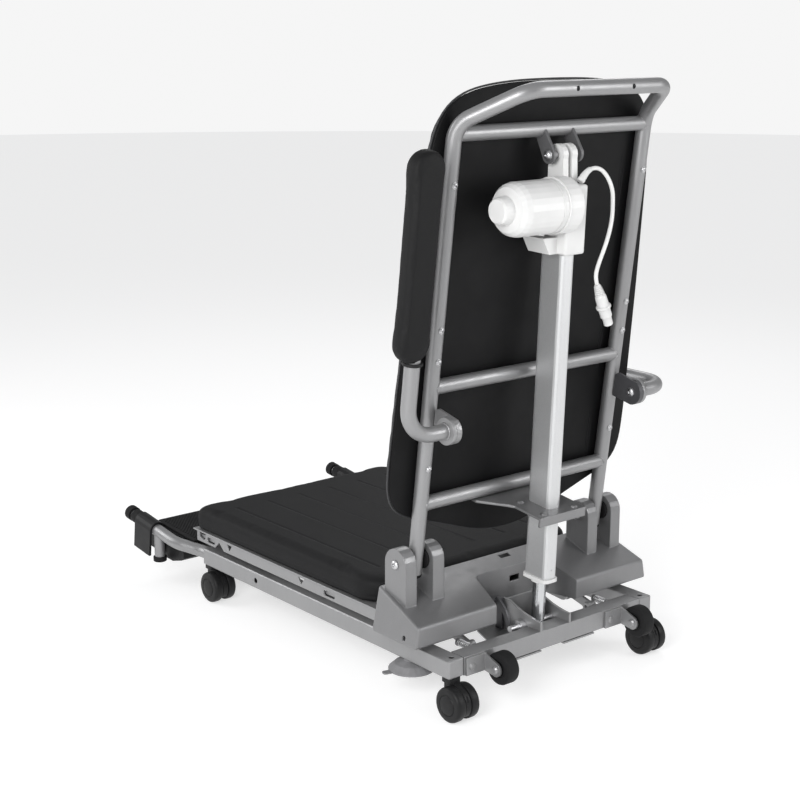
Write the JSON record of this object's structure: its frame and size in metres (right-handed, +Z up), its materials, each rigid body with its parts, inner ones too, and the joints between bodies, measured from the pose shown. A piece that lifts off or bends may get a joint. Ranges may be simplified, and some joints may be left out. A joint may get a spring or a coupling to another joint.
{
  "type": "sit to stand lift",
  "caption": "Wheeled sit to stand lift with a low padded seat, tall padded back, folding armrests, footboard and an electric column actuator behind the back.",
  "frame": {"origin": "on the floor, in the middle of the object's bounding box", "axes": "+Z up, -Y towards the front (the way the user faces), +X to the user's left"},
  "size_m": [0.703, 1.1025, 1.0577],
  "materials": {
    "silver_paint": "satin silver-grey powder coat",
    "dark_paint": "satin dark grey paint",
    "zinc": "bright zinc plated",
    "rod_steel": "ground and bright",
    "anodised": "matt anodised",
    "white_plastic": "satin white",
    "black_plastic": "matt black",
    "black_rubber": "matt black",
    "grey_rubber": "satin grey",
    "black_vinyl": "matt black vinyl over foam",
    "black_pad": "matt black covered foam on a board"
  },
  "bodies": {
    "base": {"rail_left": "silver_paint", "rail_right": "silver_paint", "rear_crossbeam": "silver_paint", "front_crossbeam": "silver_paint", "actuator_clevis": "silver_paint", "lower_pin": "zinc", "latch_lever": "dark_paint", "assist_lever_left": "silver_paint", "assist_lever_right": "silver_paint", "transport_bracket_left": "silver_paint", "transport_bracket_right": "silver_paint", "suction_foot": "grey_rubber", "foot_tube_left": "silver_paint", "foot_tube_right": "silver_paint", "foot_tube_knob_left": "black_rubber", "foot_tube_knob_right": "black_rubber", "footboard_hook_left": "black_plastic", "footboard_hook_right": "black_plastic", "footboard": "black_plastic", "tread_mat": "black_rubber", "actuator_rod": "rod_steel"},
    "outer_arms": {"outer_lift_arms": "silver_paint"},
    "inner_arms": {"inner_lift_arms": "silver_paint"},
    "seat_and_back": {"seat_frame": "silver_paint", "seat_cushion": "black_vinyl", "rear_housing": "silver_paint", "ear_bolt_left": "zinc", "ear_bolt_right": "zinc", "upper_pin": "zinc", "back_frame": "silver_paint", "back_frame_plug_left": "black_rubber", "back_frame_plug_right": "black_rubber", "back_pad": "black_pad", "actuator_profile": "anodised", "profile_end_cap": "white_plastic", "gear_housing": "white_plastic", "motor_can": "white_plastic", "lead_gland": "white_plastic", "lead": "white_plastic", "lead_connector": "white_plastic", "guide_plate": "silver_paint", "arm_bracket_left": "silver_paint", "arm_bracket_right": "dark_paint", "armrest_hinge_bolt_left": "zinc", "armrest_hinge_bolt_right": "zinc"},
    "armrest_left": {"armrest_tube_left": "silver_paint", "armrest_pad_left": "black_pad"},
    "armrest_right": {"armrest_tube_right": "silver_paint", "armrest_pad_right": "black_pad"},
    "transport_wheel_left": {"transport_wheel_left": "black_rubber"},
    "transport_wheel_right": {"transport_wheel_right": "black_rubber"},
    "castor_rear_left": {"castor_fork_rear_left": "black_plastic"},
    "castor_rear_left_wheels": {"castor_wheels_rear_left": "black_plastic"},
    "castor_rear_right": {"castor_fork_rear_right": "black_plastic"},
    "castor_rear_right_wheels": {"castor_wheels_rear_right": "black_plastic"},
    "castor_front_left": {"castor_fork_front_left": "black_plastic"},
    "castor_front_left_wheels": {"castor_wheels_front_left": "black_plastic"},
    "castor_front_right": {"castor_fork_front_right": "black_plastic"},
    "castor_front_right_wheels": {"castor_wheels_front_right": "black_plastic"}
  },
  "joints": [
    {"name": "lift", "type": "hinge", "parent": "base", "child": "outer_arms", "pos_m": [0, 0.2826, 0.066], "axis": [-1, 0, 0], "range_deg": [0, 41.13]},
    {"name": "arm_cross", "type": "hinge", "parent": "outer_arms", "child": "inner_arms", "pos_m": [0, 0.01348, 0.08776], "axis": [-1, 0, 0], "range_deg": [-82.26, 0]},
    {"name": "seat_level", "type": "hinge", "parent": "inner_arms", "child": "seat_and_back", "pos_m": [0, 0.28347, 0.08598], "axis": [-1, 0, 0], "range_deg": [0, 41.13]},
    {"name": "armrest_left_fold", "type": "hinge", "parent": "seat_and_back", "child": "armrest_left", "pos_m": [0.232, 0.4311, 0.494], "axis": [1, 0, 0], "range_deg": [0, 97.2]},
    {"name": "armrest_right_fold", "type": "hinge", "parent": "seat_and_back", "child": "armrest_right", "pos_m": [-0.232, 0.4311, 0.494], "axis": [1, 0, 0], "range_deg": [-97.2, 0]},
    {"name": "transport_wheel_left_spin", "type": "hinge", "parent": "base", "child": "transport_wheel_left", "pos_m": [0.1545, 0.4976, 0.081], "axis": [1, 0, 0], "continuous": true},
    {"name": "transport_wheel_right_spin", "type": "hinge", "parent": "base", "child": "transport_wheel_right", "pos_m": [-0.1835, 0.4976, 0.081], "axis": [1, 0, 0], "continuous": true},
    {"name": "castor_rear_left_swivel", "type": "hinge", "parent": "base", "child": "castor_rear_left", "pos_m": [0.2335, 0.4539, 0.031], "axis": [0, 0, 1], "continuous": true},
    {"name": "castor_rear_left_roll", "type": "hinge", "parent": "castor_rear_left", "child": "castor_rear_left_wheels", "pos_m": [0.2335, 0.4714, 0.031], "axis": [1, 0, 0], "continuous": true},
    {"name": "castor_rear_right_swivel", "type": "hinge", "parent": "base", "child": "castor_rear_right", "pos_m": [-0.2335, 0.4539, 0.031], "axis": [0, 0, 1], "continuous": true},
    {"name": "castor_rear_right_roll", "type": "hinge", "parent": "castor_rear_right", "child": "castor_rear_right_wheels", "pos_m": [-0.2335, 0.4714, 0.031], "axis": [1, 0, 0], "continuous": true},
    {"name": "castor_front_left_swivel", "type": "hinge", "parent": "base", "child": "castor_front_left", "pos_m": [0.2335, -0.2814, 0.031], "axis": [0, 0, 1], "continuous": true},
    {"name": "castor_front_left_roll", "type": "hinge", "parent": "castor_front_left", "child": "castor_front_left_wheels", "pos_m": [0.2335, -0.2639, 0.031], "axis": [1, 0, 0], "continuous": true},
    {"name": "castor_front_right_swivel", "type": "hinge", "parent": "base", "child": "castor_front_right", "pos_m": [-0.2335, -0.2814, 0.031], "axis": [0, 0, 1], "continuous": true},
    {"name": "castor_front_right_roll", "type": "hinge", "parent": "castor_front_right", "child": "castor_front_right_wheels", "pos_m": [-0.2335, -0.2639, 0.031], "axis": [1, 0, 0], "continuous": true}
  ],
  "couplings": [
    {"joint": "arm_cross", "follows": "lift", "ratio": -2},
    {"joint": "seat_level", "follows": "lift", "ratio": 1}
  ]
}
